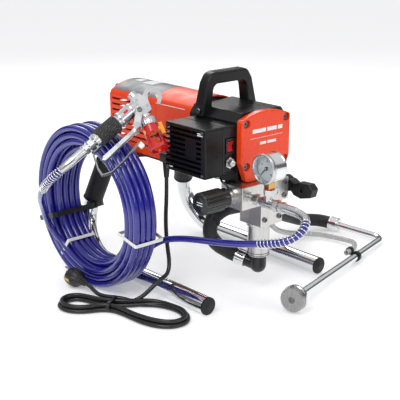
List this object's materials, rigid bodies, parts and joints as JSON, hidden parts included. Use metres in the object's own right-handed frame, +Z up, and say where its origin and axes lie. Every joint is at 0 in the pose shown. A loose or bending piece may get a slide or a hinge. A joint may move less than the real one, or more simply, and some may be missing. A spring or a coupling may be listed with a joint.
{
  "type": "airless paint sprayer",
  "caption": "Electric piston pump paint sprayer on a tubular stand, with orange front cover, pressure gauge, suction hose, coiled blue paint hose, spray gun and power cord.",
  "frame": {"origin": "on the floor, midway between the two foot tubes and straight below the pump rod's axis", "axes": "+Z is up; the orange front cover and the foot tubes' open ends face -Y; the motor lies towards +Y; the control box and the coiled hose are on the -X side"},
  "size_m": [0.658, 0.5168, 0.369],
  "materials": {
    "orange": "gloss",
    "black_plastic": "satin",
    "black_gloss": "gloss",
    "black_paint": "satin",
    "chrome": "polished",
    "steel": "brushed",
    "dark_steel": "satin",
    "aluminium": "satin",
    "brass": "satin",
    "rubber": "matte",
    "foam": "speckled",
    "blue_hose": "gloss",
    "clear_tube": "translucent",
    "white_plastic": "satin",
    "red_plastic": "gloss",
    "iron": "rough",
    "board": "satin",
    "lens": "clear"
  },
  "bodies": {
    "root": {"bearings": "steel", "carry_handle": "black_plastic", "control_board": "board", "control_box": "black_paint", "control_heat_sink": "black_paint", "cord_drop": "rubber", "cord_gland": "rubber", "cord_hank": "rubber", "cord_plug_run": "rubber", "drive_housing": "black_paint", "foot_plugs": "black_plastic", "frame_bracket": "black_paint", "front_cover": "orange", "fuse_holder": "chrome", "gauge_case": "chrome", "gauge_lens": "lens", "gun_body": "aluminium", "gun_grip": "foam", "gun_inlet_fitting": "chrome", "hose_coil": "blue_hose", "hose_fittings": "chrome", "hose_run_gun": "blue_hose", "hose_run_pump": "blue_hose", "hose_ties": "white_plastic", "left_frame_tube": "chrome", "leg_sleeves": "rubber", "motor_shroud": "orange", "motor_stator": "iron", "outlet_tee": "chrome", "packings": "white_plastic", "power_plug": "rubber", "pressure_control_body": "steel", "prime_valve_body": "chrome", "pump_cylinder": "chrome", "pump_manifold": "aluminium", "rear_motor_cover": "orange", "return_tube": "clear_tube", "return_tube_clip": "black_plastic", "right_frame_tube": "chrome", "screws": "steel", "sensor_cable": "rubber", "suction_elbow": "black_gloss", "suction_ferrules": "chrome", "suction_hose": "rubber", "suction_pipe": "chrome", "suction_strainer": "steel", "trigger_guard": "black_plastic"},
    "armature": {"armature": "iron"},
    "intermediate": {"intermediate_gear": "dark_steel"},
    "crank": {"crank_gear": "dark_steel"},
    "piston": {"piston_rod": "steel"},
    "ball": {"inlet_ball": "steel"},
    "knob": {"pressure_knob": "black_gloss"},
    "lever": {"prime_lever": "black_gloss"},
    "rocker": {"rocker_switch": "red_plastic"},
    "pointer": {"gauge_needle": "red_plastic"},
    "trigger": {"trigger": "aluminium"},
    "valve_needle": {"gun_needle": "steel"},
    "guard": {"tip_guard": "red_plastic"},
    "tip": {"spray_tip": "orange"}
  },
  "joints": [
    {"name": "armature_spin", "type": "hinge", "parent": "root", "child": "armature", "pos_m": [0, 0.21, 0.268], "axis": [0, 1, 0], "continuous": true},
    {"name": "intermediate_spin", "type": "hinge", "parent": "root", "child": "intermediate", "pos_m": [0.02669, 0.08, 0.27465], "axis": [0, 1, 0], "continuous": true},
    {"name": "crank_spin", "type": "hinge", "parent": "root", "child": "crank", "pos_m": [0, 0.05, 0.252], "axis": [0, 1, 0], "continuous": true},
    {"name": "piston_slide", "type": "slide", "parent": "root", "child": "piston", "axis": [0, 0, 1], "range_m": [-0.01, 0.01]},
    {"name": "inlet_ball_lift", "type": "slide", "parent": "root", "child": "ball", "axis": [0, 0, 1], "range_m": [0, 0.003]},
    {"name": "pressure_knob_turn", "type": "hinge", "parent": "root", "child": "knob", "pos_m": [-0.11, -0.005, 0.183], "axis": [1, 0, 0], "range_deg": [0, 270]},
    {"name": "prime_lever_turn", "type": "hinge", "parent": "root", "child": "lever", "pos_m": [0.06, -0.005, 0.18], "axis": [1, 0, 0], "range_deg": [0, 90]},
    {"name": "switch_rock", "type": "hinge", "parent": "root", "child": "rocker", "pos_m": [-0.0685, 0.004, 0.264], "axis": [-1, 0, 0], "range_deg": [0, 12]},
    {"name": "gauge_pointer_turn", "type": "hinge", "parent": "root", "child": "pointer", "pos_m": [-0.0595, -0.073, 0.241], "axis": [1, 0, 0], "range_deg": [0, 270], "stiffness_Nm_per_rad": 0.0002, "springref_deg": -34.38},
    {"name": "trigger_pull", "type": "hinge", "parent": "root", "child": "trigger", "pos_m": [-0.15066, 0.12646, 0.30914], "axis": [0.4123, 0.6377, -0.6507], "range_deg": [0, 7], "stiffness_Nm_per_rad": 1, "springref_deg": -6.88},
    {"name": "needle_lift", "type": "slide", "parent": "root", "child": "valve_needle", "axis": [0.1065, 0.6756, 0.7296], "range_m": [0, 0.003]},
    {"name": "guard_turn", "type": "hinge", "parent": "root", "child": "guard", "pos_m": [-0.14587, 0.10804, 0.29412], "axis": [-0.1065, -0.6756, -0.7296], "range_deg": [-90, 90]},
    {"name": "tip_turn", "type": "hinge", "parent": "guard", "child": "tip", "pos_m": [-0.14739, 0.09838, 0.28369], "axis": [0.9048, -0.3701, 0.2107], "range_deg": [0, 180]}
  ],
  "couplings": [
    {"joint": "intermediate_spin", "follows": "armature_spin", "ratio": -0.375},
    {"joint": "crank_spin", "follows": "armature_spin", "ratio": 0.10227},
    {"joint": "needle_lift", "follows": "trigger_pull", "m_per_rad": 0.0245}
  ]
}
